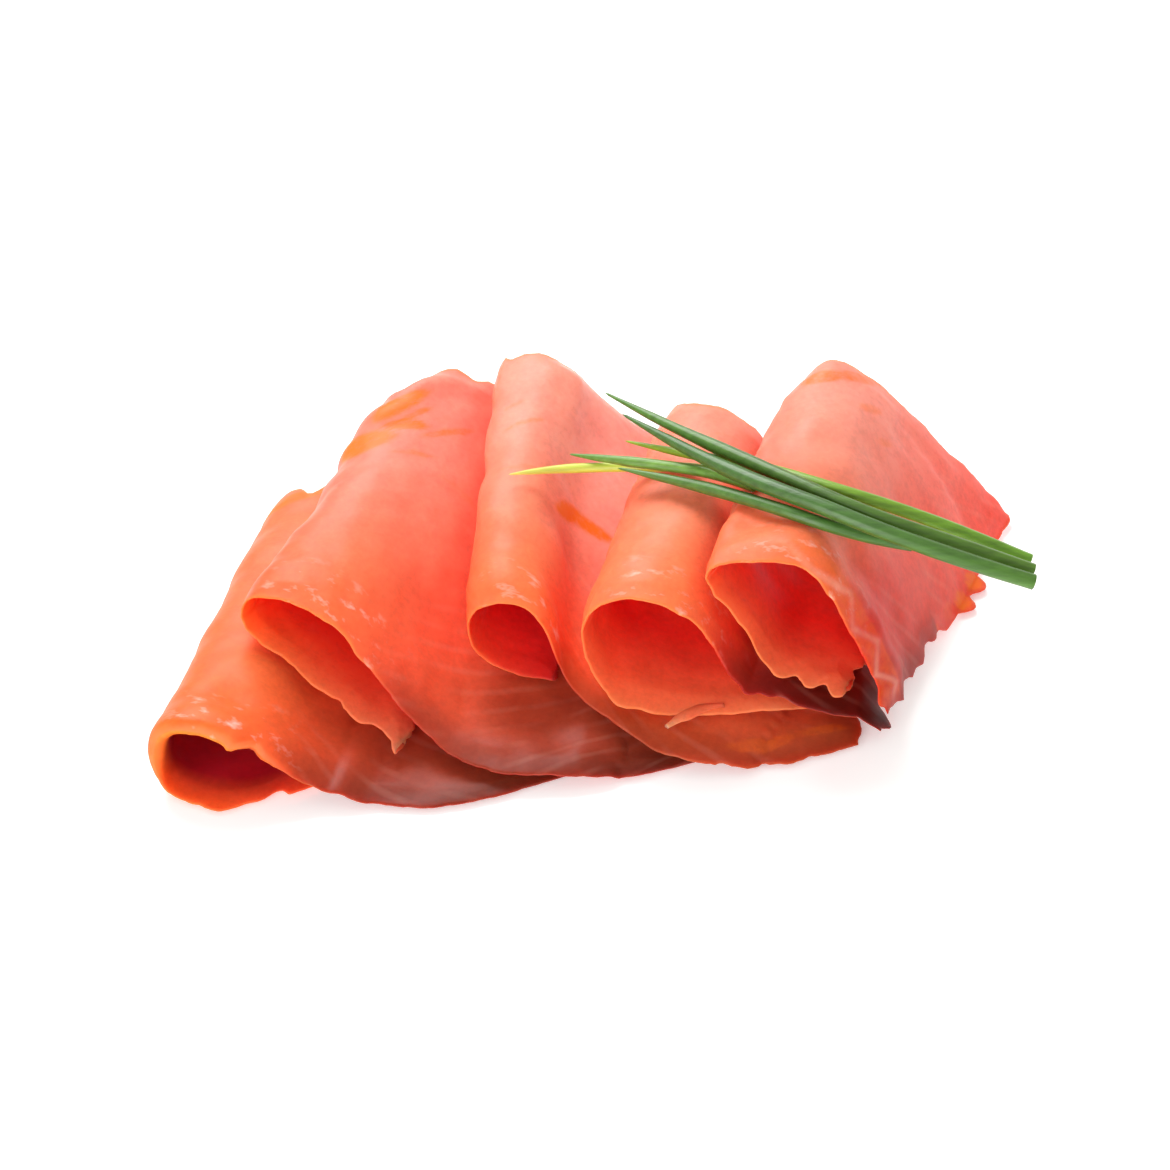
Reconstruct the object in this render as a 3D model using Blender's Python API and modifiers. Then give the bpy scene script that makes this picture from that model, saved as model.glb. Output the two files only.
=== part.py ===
"""Smoked salmon slices: five thin slices, each folded over into a loose open loop and laid like
shingles from left to right, with six chive blades lying across the loops at the right.

Metres, +Z up. The pile rests on z = 0, its loops open towards -Y and run back along +Y.
Each slice is a flat sheet rolled over by a function of a few sizes, then settled on what lies below it.
"""

import math

import bmesh
import bpy
import numpy as np
from mathutils import Matrix, Vector
from mathutils.bvhtree import BVHTree

MM = 0.001
THICKNESS = 2.0  # of a slice, mm
GAP = 0.8  # kept between pieces that touch, mm

ACROSS_STEPS = 34  # facets along a slice's folded section
ALONG_STEPS = 9  # facets from its front cut to its back cut
CUT_PLACES = (0, 1.5, 3.5, 5, 7, 8, 9)  # control points of a section that a cut's seven values sit at

PILE_HALF_SIZE = (115, 80)  # half the plan that the height map covers, mm
MAP_STEP = 1.5  # its spacing, mm
SETTLE_REACH = 2  # map cells over which a sheet bridges a step below it

# One entry for each slice, bottom one first. Lengths are in mm.
#   foot      where the fold meets the front cut, in plan
#   heading   degrees that the fold leans right as it runs back
#   front     the section at the front cut: the crest's height, the share of it reached at the fold,
#             the width from the fold to where the upper leaf lands, where its crest is as a share
#             of that width, how high it is held where it lands, how far the lower leaf reaches
#             under, and the tail beyond the landing
#   back      the same at the back cut
#   front_cut how far back the front cut lies at the lower leaf's end and middle, the fold, the
#   back_cut  crest, the landing, and the tail's middle and end; the back cut's seven likewise
SLICES = [
    {
        "name": "slice_1",
        "colour": (0.88, 0.30, 0.18),
        "foot": (-81.5, -48),
        "heading": 12,
        "front": {"rise": 16, "lean": 1, "width": 36, "crest": 0.33, "held": 0, "under": 34, "tail": 42},
        "back": {"rise": 10, "lean": 1, "width": 42, "crest": 0.35, "held": 0, "under": 40, "tail": 36},
        "front_cut": (10, -7, 0, -1, 2, 3, 20),
        "back_cut": (84, 80, 77, 91, 100, 92, 84),
    },
    {
        "name": "slice_2",
        "colour": (0.90, 0.32, 0.19),
        "foot": (-66, -20),
        "heading": 24,
        "front": {"rise": 26, "lean": 1, "width": 44, "crest": 0.34, "held": 0, "under": 37, "tail": 47},
        "back": {"rise": 30, "lean": 1.04, "width": 41, "crest": 0.27, "held": 0, "under": 36, "tail": 50},
        "front_cut": (-6, -6, 0, 1, -6, -6, 18),
        "back_cut": (74, 70, 58, 82, 90, 90, 80),
    },
    {
        "name": "slice_3",
        "colour": (0.91, 0.36, 0.23),
        "foot": (-22.5, -22),
        "heading": 4.5,
        "front": {"rise": 25, "lean": 1, "width": 21, "crest": 0.62, "held": 0, "under": 17, "tail": 56},
        "back": {"rise": 35.5, "lean": 0.88, "width": 16, "crest": 0.55, "held": 20, "under": 20, "tail": 42},
        "front_cut": (-1, -1, 0, 0, -7, -24, -8),
        "back_cut": (70, 70, 70, 70, 72, 74, 72),
    },
    {
        "name": "slice_4",
        "colour": (0.89, 0.35, 0.22),
        "foot": (0, -28),
        "heading": 15,
        "front": {"rise": 32, "lean": 0.95, "width": 31, "crest": 0.62, "held": 0, "under": 52, "tail": 26},
        "back": {"rise": 33, "lean": 1, "width": 31, "crest": 0.5, "held": 0, "under": 40, "tail": 24},
        "front_cut": (18, -9, 0, 1, 5, 6, 8),
        "back_cut": (66, 66, 65, 65, 66, 66, 64),
    },
    {
        "name": "slice_5",
        "colour": (0.88, 0.34, 0.23),
        "foot": (23, -29),
        "heading": 17,
        "front": {"rise": 40, "lean": 0.87, "width": 36, "crest": 0.5, "held": 0, "under": 27, "tail": 0.5},
        "back": {"rise": 38, "lean": 1.05, "width": 43.7, "crest": 0.283, "held": 0, "under": 36, "tail": 0.5},
        "front_cut": (5, 3, 0, 7, 5, 5, 5),
        "back_cut": (69, 69, 69, 74, 84, 84, 84),
    },
]

# One entry for each chive blade: how thick it is, and points along its middle line from the tip
# at the left to the cut end at the right, in mm. The last two are short and end under the others.
CHIVES = [
    {
        "name": "chive_1",
        "colour": (0.060, 0.120, 0.025),
        "thick": 2.8,
        "route": [
            (4, 28.5, 39), (17, 14, 41), (29, 2, 42.8), (41, -8.8, 44),
            (53, -17, 43), (69, -19, 38), (86.4, -20.8, 31.8),
        ],
    },
    {
        "name": "chive_2",
        "colour": (0.075, 0.140, 0.035),
        "thick": 3.2,
        "route": [
            (7.5, 21, 39), (20, 5.4, 41.5), (32, -8.3, 44), (44, -16.5, 44.8),
            (56, -22, 42.4), (74, -24.5, 36.4), (86, -25.3, 32.5),
        ],
    },
    {
        "name": "chive_3",
        "colour": (0.250, 0.300, 0.060),
        "thick": 2.6,
        "route": [
            (8, 16, 36), (20.5, 8.5, 38), (36, -1.2, 41.8), (48, -9.2, 42.7),
            (60, -11, 39.7), (73, -13.2, 35.4), (86.4, -15.7, 30.3),
        ],
    },
    {
        "name": "chive_4",
        "colour": (0.120, 0.180, 0.060),
        "thick": 2.6,
        "route": [
            (6.5, 7.5, 35.5), (17, 3, 36), (26, -5, 39.2), (38, -15.4, 42.4),
            (47, -18.9, 40.9), (56, -18.4, 37.6), (63, -16.9, 35),
        ],
    },
    {
        "name": "chive_5",
        "colour": (0.190, 0.240, 0.080),
        "thick": 2.2,
        "route": [
            (-3, 15, 33.4), (7.5, 9.2, 36), (17, 5.5, 37.4),
            (26, 0.8, 39), (33, -5.3, 40.3),
        ],
    },
    {
        "name": "chive_6",
        "colour": (0.420, 0.420, 0.070),
        "thick": 2.0,
        "route": [
            (-15, 9, 32.8), (-7, 11, 32.6), (2.5, 12, 32.4),
            (15, 9.7, 34.2), (22.5, 7.2, 36), (30, 1.6, 37.4),
        ],
    },
]
CHIVE_STEPS = 14  # straight lengths along a blade
TIP_LENGTH = 0.3  # of a blade, tapering to its tip
TIP_WIDTH = 0.25  # at the tip, as a share of the blade's thickness

SALMON_ROUGHNESS = 0.38
CHIVE_ROUGHNESS = 0.42


def clear_scene():
    for obj in list(bpy.data.objects):
        bpy.data.objects.remove(obj, do_unlink=True)


def make_material(size, roughness):
    material = bpy.data.materials.new(size["name"] + "_flesh")
    material.use_nodes = True
    shader = material.node_tree.nodes["Principled BSDF"]
    shader.inputs["Base Color"].default_value = (*size["colour"], 1.0)
    shader.inputs["Roughness"].default_value = roughness
    shader.inputs["Metallic"].default_value = 0.0
    return material


def section_points(rise, lean, width, crest, held, under, tail):
    """Control points (across, up) of a folded section, from the lower leaf's end round to the tail's."""
    top = rise / 0.96
    outside = -0.02 * width
    return np.array(
        [
            (under, 0),
            (0.62 * under, 0),
            (0.30 * min(under, width), 0),
            (outside, 0),
            (outside, lean * top),
            (crest * width, top),
            (0.5 * (1 + crest) * width, 0.5 * (top + held)),
            (width, held),
            (width + 0.45 * tail, 0.6 * held),
            (width + tail, 0),
        ]
    )


def spline(points, places):
    """Points of the clamped cubic B-spline through the control points, at places from 0 to 1."""
    first, last = points[0], points[-1]
    padded = np.vstack([2 * first - points[1], points, 2 * last - points[-2]])
    spans = len(points) - 1
    along = np.clip(np.asarray(places) * spans, 0, spans - 1e-9)
    k = along.astype(int)
    t = (along - k)[:, None]
    a, b, c, d = (padded[np.minimum(k + i, len(padded) - 1)] for i in range(4))
    return (
        (1 - t) ** 3 * a
        + (3 * t**3 - 6 * t**2 + 4) * b
        + (-3 * t**3 + 3 * t**2 + 3 * t + 1) * c
        + t**3 * d
    ) / 6


def leaf_edge(size, cut, places):
    """The sheet's middle line along one cut, settled on nothing: (across, along, up) for each place."""
    section = section_points(**size)
    along = np.interp(range(len(section)), CUT_PLACES, cut)
    return spline(np.column_stack([section[:, 0], along, section[:, 1]]), places)


def between(front, back):
    """Values from the front cut's to the back cut's, one row for each step along the fold."""
    share = np.linspace(0, 1, ALONG_STEPS + 1).reshape(-1, *([1] * np.ndim(front)))
    return (1 - share) * front + share * back


def rolled_sheet(size, ground):
    """Plan places and heights of one rolled slice whose lower leaf lies on the ground, in mm."""
    places = np.linspace(0, 1, ACROSS_STEPS + 1)
    front = leaf_edge(size["front"], size["front_cut"], places)
    back = leaf_edge(size["back"], size["back_cut"], places)
    across, along, up = np.moveaxis(between(front, back), 2, 0)
    turn = math.radians(size["heading"])
    x = size["foot"][0] + across * math.cos(turn) + along * math.sin(turn)
    y = size["foot"][1] - across * math.sin(turn) + along * math.cos(turn)
    base = look_up(ground, x, y)
    rise = between(size["front"]["rise"], size["back"]["rise"])[:, None]
    under = between(size["front"]["under"], size["back"]["under"])[:, None]
    over_leaf = np.clip((under + 7 - across) / 6, 0, 1) * (places > 0.45)
    up = np.maximum(up * np.clip(1 - base / rise, 0.1, 1), (THICKNESS + GAP) * over_leaf)
    return x, y, base + up


def map_axes():
    return [np.arange(-half, half + MAP_STEP / 2, MAP_STEP) for half in PILE_HALF_SIZE]


def pile_heights(laid):
    """The height in mm of what has been laid so far, looked for straight down at each map point."""
    xs, ys = map_axes()
    heights = np.zeros((len(xs), len(ys)))
    graph = bpy.context.evaluated_depsgraph_get()
    for obj in laid:
        tree = BVHTree.FromObject(obj, graph)
        for i, x in enumerate(xs):
            for j, y in enumerate(ys):
                hit = tree.ray_cast(Vector((x * MM, y * MM, 1)), Vector((0, 0, -1)))[0]
                if hit is not None:
                    heights[i, j] = max(heights[i, j], hit.z / MM)
    return heights


def shifted(field, reach):
    """The field moved by every step up to reach each way, its edges repeated."""
    padded = np.pad(field, reach, mode="edge")
    size = range(2 * reach + 1)
    return [padded[i : i + field.shape[0], j : j + field.shape[1]] for i in size for j in size]


def resting_heights(heights):
    """A smooth surface that clears the pile: the middle of a sheet lying on it."""
    bridged = np.mean(shifted(np.max(shifted(heights, SETTLE_REACH), axis=0), SETTLE_REACH), axis=0)
    slope = np.hypot(*np.gradient(bridged, MAP_STEP))
    return bridged + 0.5 * THICKNESS * np.sqrt(1 + slope**2) + GAP * (bridged > 0.01)


def look_up(field, x, y):
    """The field's value at plan places, by bilinear interpolation."""
    i, j = ((v + half) / MAP_STEP for v, half in zip((x, y), PILE_HALF_SIZE))
    i0, j0 = np.floor(i).astype(int), np.floor(j).astype(int)
    s, t = i - i0, j - j0
    near = (1 - t) * field[i0, j0] + t * field[i0, j0 + 1]
    far = (1 - t) * field[i0 + 1, j0] + t * field[i0 + 1, j0 + 1]
    return (1 - s) * near + s * far


def make_slice(size, laid, collection):
    """Rolls one slice, settles it on the slices already laid and gives it its thickness."""
    x, y, z = rolled_sheet(size, resting_heights(pile_heights(laid)))
    sheet = bmesh.new()
    bmesh.ops.create_grid(sheet, x_segments=ACROSS_STEPS, y_segments=ALONG_STEPS, size=0.5)
    for vertex in sheet.verts:
        i = round((vertex.co.x + 0.5) * ACROSS_STEPS)
        j = round((vertex.co.y + 0.5) * ALONG_STEPS)
        vertex.co = Vector((x[j, i], y[j, i], z[j, i])) * MM
    mesh = bpy.data.meshes.new(size["name"])
    sheet.to_mesh(mesh)
    sheet.free()
    mesh.materials.append(make_material(size, SALMON_ROUGHNESS))
    mesh.shade_smooth()
    obj = bpy.data.objects.new(size["name"], mesh)
    collection.objects.link(obj)
    solid = obj.modifiers.new("Thickness", "SOLIDIFY")
    solid.thickness = THICKNESS * MM
    solid.offset = 0
    bpy.context.view_layer.update()
    return obj


def make_chive(size, collection):
    """One blade: a round solid along its route, tapering to the tip."""
    places = np.linspace(0, 1, CHIVE_STEPS + 1)
    route = spline(np.array(size["route"]), places)
    widths = np.interp(places, (0, TIP_LENGTH), (TIP_WIDTH, 1))
    curve = bpy.data.curves.new(size["name"], "CURVE")
    curve.dimensions = "3D"
    curve.bevel_depth = 0.5 * size["thick"] * MM
    curve.bevel_resolution = 2
    curve.use_fill_caps = True
    line = curve.splines.new("POLY")
    line.points.add(CHIVE_STEPS)
    for point, place, width in zip(line.points, route, widths):
        point.co = (*(place * MM), 1)
        point.radius = width
    line.use_smooth = True
    curve.materials.append(make_material(size, CHIVE_ROUGHNESS))
    obj = bpy.data.objects.new(size["name"], curve)
    collection.objects.link(obj)
    return obj


def centre_pile(objects):
    """Moves everything so that the pile stands on the origin by the middle of its box."""
    bpy.context.view_layer.update()
    graph = bpy.context.evaluated_depsgraph_get()
    places = []
    for obj in objects:
        piece = obj.evaluated_get(graph)
        places += [vertex.co[:] for vertex in piece.to_mesh().vertices]
        piece.to_mesh_clear()
    low = np.min(places, axis=0)
    high = np.max(places, axis=0)
    middle = Matrix.Translation((-0.5 * (low[0] + high[0]), -0.5 * (low[1] + high[1]), -low[2]))
    for obj in objects:
        obj.data.transform(middle)


def main():
    clear_scene()
    collection = bpy.data.collections.new("smoked_salmon_slices")
    bpy.context.scene.collection.children.link(collection)
    laid = []
    for size in SLICES:
        laid.append(make_slice(size, laid, collection))
    blades = [make_chive(size, collection) for size in CHIVES]
    centre_pile(laid + blades)


main()
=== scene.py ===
import math

import bpy
import numpy as np
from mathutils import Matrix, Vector
from mathutils.bvhtree import BVHTree


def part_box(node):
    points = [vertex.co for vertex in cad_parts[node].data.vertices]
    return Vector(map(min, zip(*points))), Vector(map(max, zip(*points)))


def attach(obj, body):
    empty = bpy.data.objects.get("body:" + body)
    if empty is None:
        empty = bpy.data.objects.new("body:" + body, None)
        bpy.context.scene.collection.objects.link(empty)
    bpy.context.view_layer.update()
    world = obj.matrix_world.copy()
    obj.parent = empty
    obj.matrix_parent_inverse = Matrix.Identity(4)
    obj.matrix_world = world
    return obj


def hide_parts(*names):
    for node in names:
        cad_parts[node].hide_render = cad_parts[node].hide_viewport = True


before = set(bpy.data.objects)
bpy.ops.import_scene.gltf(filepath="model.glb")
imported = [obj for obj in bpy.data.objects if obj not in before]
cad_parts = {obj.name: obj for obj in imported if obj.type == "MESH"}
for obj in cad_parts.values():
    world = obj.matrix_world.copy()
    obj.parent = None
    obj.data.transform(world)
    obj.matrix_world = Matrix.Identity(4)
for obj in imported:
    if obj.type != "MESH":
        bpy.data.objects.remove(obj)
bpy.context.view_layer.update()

# Five thin slices of smoked salmon, each folded over into an open loop and laid like shingles from
# left to right, with six chive blades across the loops. Sizes are in mm; meshes are in metres.
# On a slice, "place" runs from 0 at the lower leaf's end, round the fold (0.33 to 0.44), over the
# crest (0.55) and down the upper leaf to 1 at the tail's end. "Arc" is the same way in mm, and
# "depth" is the way back from the front cut.

mm = 0.001

pile = {
    "corner": (-82.92, -54.78),  # the first slice's nearest left corner, seen from the pile's own middle
    "thickness": 2.0,  # of a slice
    "gap": 0.8,  # kept between pieces that touch
    "mapStep": 1.5,  # spacing of the height map
    "mapHalfSize": (115, 80),  # half the plan that it covers
    "reach": 2,  # map cells over which a sheet bridges a step below it
    "cutPlaces": (0, 1.5, 3.5, 5, 7, 8, 9),  # control points that a cut's seven values sit at
}
shift = Vector((*pile["corner"], 0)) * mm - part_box("slice_1")[0]  # from the frame to the pile's middle
shift.z = 0
print("frame loaded:", len(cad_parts), "nodes")


def bare(piece):
    # leaves only this piece selected and active
    bpy.ops.object.select_all(action="DESELECT")
    piece.select_set(True)
    bpy.context.view_layer.objects.active = piece


def smooth(value, start=0.0, end=1.0):
    share = np.clip((value - start) / (end - start), 0, 1)
    return share * share * (3 - 2 * share)


def linear(hexText):
    # sRGB hex to linear red, green, blue and alpha
    values = [int(hexText[i : i + 2], 16) / 255 for i in (1, 3, 5)]
    return [v / 12.92 if v <= 0.04045 else ((v + 0.055) / 1.055) ** 2.4 for v in values] + [1.0]


def wander(along, seed, waves=(26, 13, 6.1, 3.1, 1.7), fade=0.62):
    # a smooth uneven line, about -1 to 1: sines of shorter and shorter waves
    dice = np.random.default_rng(seed)
    total = 0
    for i, wave in enumerate(waves):
        total = total + fade**i * np.sin(2 * math.pi * (along / wave + dice.random()))
    return total / sum(fade**i for i in range(len(waves)))


def ripple(across, along, seed, wave, count=7):
    # an uneven surface, about -1 to 1: waves of nearly the same length from all sides
    dice = np.random.default_rng(seed)
    total = 0
    for _ in range(count):
        turn = dice.random() * 2 * math.pi
        size = wave * (0.7 + 0.7 * dice.random())
        onWave = across * math.cos(turn) + along * math.sin(turn)
        total = total + np.sin(2 * math.pi * (onWave / size + dice.random()))
    return total / math.sqrt(count)


# The slices, from left to right. "foot" is the corner where the front cut meets the fold's outer side,
# and "heading" turns the slice clockwise. "front" and "back" are the folded section at the two cuts:
# its height, the share of it that the fold's shoulder has, its width, where across that the crest lies,
# the height at which the upper leaf leaves the loop, and the lengths of the lower leaf and of the tail.
# A cut's seven values say how far back it lies at the pile's "cutPlaces". A tooth is (where, half width,
# how far out), a streak of fat is (arc, depth, length, width, turn, strength), and a dent is (place,
# depth, half its arc, half its depth, height). A row of colours follows the sheet's "colourPlaces".
# "band" is a folded rim: (width, first arc, last arc).
# The colour rows hold painted light as well as the flesh's own colour. The outer back rows are paler with
# painted sheen. The last places of the outer rows, the tails, are darker with painted shade, as are flanks
# that face away from the light. The inner front rows carry a painted orange glow near the opening, and the
# inner deep rows a deep red painted shade inside the loop.
slices = [
    {
        "name": "slice_1", "seamTurn": 28, "seed": 11, "foot": (-81.5, -48), "heading": 12,
        "lipThick": 1.8, "floorReach": 5,
        "front": {"rise": 16, "lean": 1, "width": 36, "crest": 0.33, "held": 0, "under": 34, "tail": 42},
        "back": {"rise": 10, "lean": 1, "width": 42, "crest": 0.35, "held": 0, "under": 40, "tail": 36},
        "frontCut": (10, -7, 0, -1, 2, 3, 20), "backCut": (84, 80, 77, 91, 100, 92, 84),
        "teeth": {
            "front": [(62, 1.6, 1.3), (66, 2.0, -1.4), (22, 5, 1.2), (12, 2.5, -2.0)],
            "back": [(47, 3.5, 2.2), (52, 2.0, -2.2), (57, 3.0, 1.6), (63, 2.2, -1.8), (68, 3.2, 1.5)],
            "under": [(8, 4, 1.5)], "tail": [(30, 5, 1.2)],
        },
        "streaks": [(50, 80, 16, 4.5, 8, 0.9), (58, 77, 9, 3.0, -10, 0.6)],
        "dents": [(0.60, 4, 12, 5, 0.8)],
        "colours": {
            "outerFront": ("#F34C30", "#F35C21", "#F16121", "#F56A2E", "#DC5029", "#A83E26", "#803420"),
            "outerBack": ("#F3533E", "#F76132", "#F96C41", "#FB784F", "#EC5A3C", "#B8402C", "#903022"),
            "innerFront": ("#E04A2C", "#F0601E", "#F47A18", "#F47A1C", "#EB5A2A", "#E33B33", "#D33B33"),
            "innerDeepShade": ("#B01422", "#A81220", "#A00E1E", "#980E1E", "#A0101E", "#B0202A", "#B0272F"),
        },
    },
    {
        "name": "slice_2", "seamTurn": -32, "seed": 23, "foot": (-66, -20), "heading": 24,
        "front": {"rise": 26, "lean": 1, "width": 44, "crest": 0.34, "held": 0, "under": 37, "tail": 47},
        "back": {"rise": 30, "lean": 1.04, "width": 41, "crest": 0.27, "held": 0, "under": 36, "tail": 50},
        "frontCut": (-6, -6, 0, 1, -6, -6, 18), "backCut": (74, 70, 58, 82, 90, 90, 80),
        "teeth": {
            "front": [
                (2.0, 3.4, 1.6), (1.4, 1.8, 2.4), (7.0, 1.8, -0.7), (10, 2.4, 0.9), (14, 1.2, -0.9),
                (20, 4, 0.6), (30, 3, 0.5), (84, 3, 0.6),
            ],
            "back": [
                (48, 4, 3.2), (53, 2.0, -2.4), (57, 3.0, 2.0), (61.5, 2.0, -2.2), (66, 4.0, 2.4),
                (72, 2.0, -1.2),
            ],
            "under": [(0, 5, 1.0), (8, 3, -1.2), (16, 4, 1.0)], "tail": [(20, 5, 1.0)],
        },
        "streaks": [
            (59, 56.0, 11.5, 7.5, -14, 1.0), (65.5, 59.5, 8, 3.4, -16, 0.9), (62.5, 66.5, 9.5, 5.0, 62, 1.0),
            (66, 63, 5, 2.0, 50, 0.8), (73.4, 59, 10, 2.2, 40, 0.7), (70, 50.5, 8, 1.6, 8, 0.6),
            (84, 47, 16, 1.2, -6, 0.4), (56, 38, 1.6, 1.6, 0, 0.5), (66, 12, 1.2, 1.0, 0, 0.5),
        ],
        "dents": [
            (0.40, 48, 7, 5, 1.3), (0.41, 58, 7, 4.5, 2.4), (0.44, 66, 8, 5, 3.0), (0.48, 74, 8, 4, 2.2),
            (0.52, 10, 8, 7, 0.7), (0.72, 22, 14, 10, -0.8),
        ],
        "colours": {
            "outerFront": ("#F34C30", "#FD5327", "#FD6135", "#FD6C3C", "#F65836", "#BE482C", "#7A3222"),
            "outerBack": ("#F3533E", "#FD6F5F", "#FD7A65", "#FE8A77", "#FD7A62", "#D25236", "#8C3C26"),
            "innerFront": ("#FB7250", "#FE6A2C", "#FE6A18", "#FD4A20", "#FC1B22", "#F3262A", "#E33533"),
            "innerDeepShade": ("#FF3420", "#FF1E18", "#FF1020", "#FF0E22", "#FF0E22", "#F33034", "#DB3234"),
        },
    },
    {
        "name": "slice_3", "seamTurn": 34, "seed": 37, "foot": (-22.5, -22), "heading": 4.5,
        "front": {"rise": 25, "lean": 1, "width": 21, "crest": 0.62, "held": 0, "under": 17, "tail": 56},
        "back": {"rise": 35.5, "lean": 0.88, "width": 16, "crest": 0.55, "held": 20, "under": 20, "tail": 42},
        "frontCut": (-1, -1, 0, 0, -7, -24, -8), "backCut": (70, 70, 70, 70, 72, 74, 72),
        "teeth": {
            "front": [
                (98, 1.4, -0.7), (102, 1.8, 0.5), (105, 1.0, -0.6), (109, 1.6, 0.5), (113, 1.2, -0.5),
                (54, 3, 0.5),
            ],
            "back": [(44, 4, -1.0), (70, 6, 1.2), (84, 5, -1.5)],
            "under": [(2, 3, 1.2)], "tail": [(5, 4, 1.4), (12, 2.5, -1.4), (30, 4, 1.0)],
        },
        "streaks": [
            (65.5, 39, 13, 4.0, 30, 1.0), (72, 41, 13, 3.6, 8, 1.0), (50, 40.5, 14, 1.2, 10, 0.5),
            (49, 54, 10, 1.5, 28, 0.6), (46, 60, 6, 1.3, 20, 0.5), (105, 4, 12, 2.4, 8, 0.5),
            (116, 5, 8, 2.0, -6, 0.5),
        ],
        "dents": [
            (0.52, 9, 8, 7, 0.6), (0.46, 30, 8, 10, 0.6), (0.60, 34, 8, 9, -0.5), (0.69, 71, 9, 10, 2.6),
        ],
        "colours": {
            "outerFront": ("#F34C30", "#FD4F27", "#FD6A3C", "#FE7643", "#FB5A34", "#E2582E", "#C8542E"),
            "outerBack": ("#F3533E", "#FD7158", "#FE866E", "#FE937E", "#FF9E88", "#FFA090", "#F07A66"),
            "innerFront": ("#D82A28", "#F44828", "#FE4420", "#F01C1C", "#F0181C", "#F34437", "#E34A3D"),
            "innerDeepShade": ("#F42028", "#F41620", "#F40E1C", "#F40C1C", "#F40C1C", "#F33034", "#DB3234"),
        },
    },
    {
        "name": "slice_4", "seamTurn": 26, "seed": 41, "foot": (0, -28), "heading": 15,
        "front": {"rise": 32, "lean": 0.95, "width": 31, "crest": 0.62, "held": 0, "under": 52, "tail": 26},
        "back": {"rise": 33, "lean": 1, "width": 31, "crest": 0.5, "held": 0, "under": 40, "tail": 24},
        "frontCut": (18, -9, 0, 1, 5, 6, 8), "backCut": (66, 66, 65, 65, 66, 66, 64),
        "teeth": {
            "front": [
                (38, 3.0, 0.9), (44, 4, -0.6), (60, 3, 0.6), (88, 3, 0.5), (118, 2.5, 1.0), (125, 2, -0.8),
            ],
            "back": [(70, 5, 1.0), (88, 4, -1.0)],
            "under": [(3, 3, 1.5)], "tail": [(4, 3, 1.6), (10, 3, -1.5)],
        },
        "streaks": [(84, 52, 14, 0.8, 12, 0.3), (80, 30, 16, 0.7, -8, 0.22), (110, 8, 10, 1.6, 12, 0.3)],
        "dents": [(0.50, 8, 9, 7, 0.6), (0.56, 30, 8, 12, 0.5)],
        "colours": {
            "outerFront": ("#F34C30", "#FD552D", "#FD6F43", "#FE7C4A", "#E8402A", "#98241C", "#5A1A10"),
            "outerBack": ("#F3533E", "#FD7A5C", "#FE8A70", "#FE9881", "#FD8068", "#F86A54", "#D04C3A"),
            "innerFront": ("#FF8054", "#FF6A3C", "#FB5028", "#F02018", "#F0181A", "#F34437", "#E34A3D"),
            "innerDeepShade": ("#F83C2C", "#F0241E", "#EC121C", "#E80E1C", "#E80E1C", "#E83034", "#DB3234"),
        },
    },
    {
        "name": "slice_5", "seamTurn": -24, "seed": 59, "foot": (23, -29), "heading": 17,
        "front": {"rise": 40, "lean": 0.87, "width": 36, "crest": 0.5, "held": 0, "under": 27, "tail": 0.5},
        "back": {
            "rise": 38, "lean": 1.05, "width": 43.7, "crest": 0.283, "held": 0, "under": 36, "tail": 0.5,
        },
        "frontCut": (5, 3, 0, 7, 5, 5, 5), "backCut": (69, 69, 69, 74, 84, 84, 84),
        "teeth": {
            "front": [
                (1.5, 2.0, 1.6), (5, 1.4, -1.6), (8, 1.8, 1.2), (11.5, 1.4, -1.2), (15, 2.2, 1.0),
                (22, 2.2, -0.8), (30, 3.0, 0.8), (86, 3.0, 0.5), (118, 2.5, 1.5),
            ],
            "back": [(70, 6, 1.0), (100, 6, -0.8), (122, 5, -1.2)],
            "under": [(4, 2.5, 1.6), (9, 2, -1.2), (14, 3, 1.2)],
            "tail": [
                (3, 5, -1.0), (11, 3.5, -2.6), (17, 5, -2.2), (24, 4, -3.0), (30, 3.5, -1.8), (34, 1.6, -0.4),
                (41.5, 2.6, 2.6), (48.0, 2.8, 2.6), (56, 3, -0.6), (76, 6, -1.6),
            ],
        },
        "streaks": [
            (68, 66, 9, 4.0, 8, 0.8), (75, 68.5, 8, 3.4, 24, 0.7), (80, 60, 6, 2.6, 40, 0.6),
            (86, 54, 5, 2.2, 40, 0.5), (121, 41.5, 5, 4.5, 0, 0.9), (121, 48, 5, 4.5, 0, 0.9),
            (119, 36, 3, 4, 0, 0.4), (119, 30, 1.6, 1.2, 0, 0.6),
        ],
        "dents": [
            (0.56, 4, 12, 6, 0.9), (0.70, 8, 26, 3.6, 0.9), (0.70, 15, 26, 5, -0.8), (0.66, 42, 20, 9, -0.8),
        ],
        "band": (7.0, 74, 119),
        "colours": {
            "outerFront": ("#F34C30", "#FD552D", "#FD6F43", "#FD784D", "#D42A1C", "#C02A1C", "#C0301E"),
            "outerBack": ("#F3533E", "#FD7258", "#FE836C", "#FE9A86", "#FD7462", "#EC4E3C", "#E85A3C"),
            "innerFront": ("#FF8054", "#FF6A3C", "#FE5428", "#F42018", "#F0181A", "#F34437", "#E34A3D"),
            "innerDeepShade": ("#FB3A2C", "#F6241E", "#F0121C", "#EC0E1C", "#EC0E1C", "#F33034", "#DB3234"),
        },
    },
]

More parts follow.
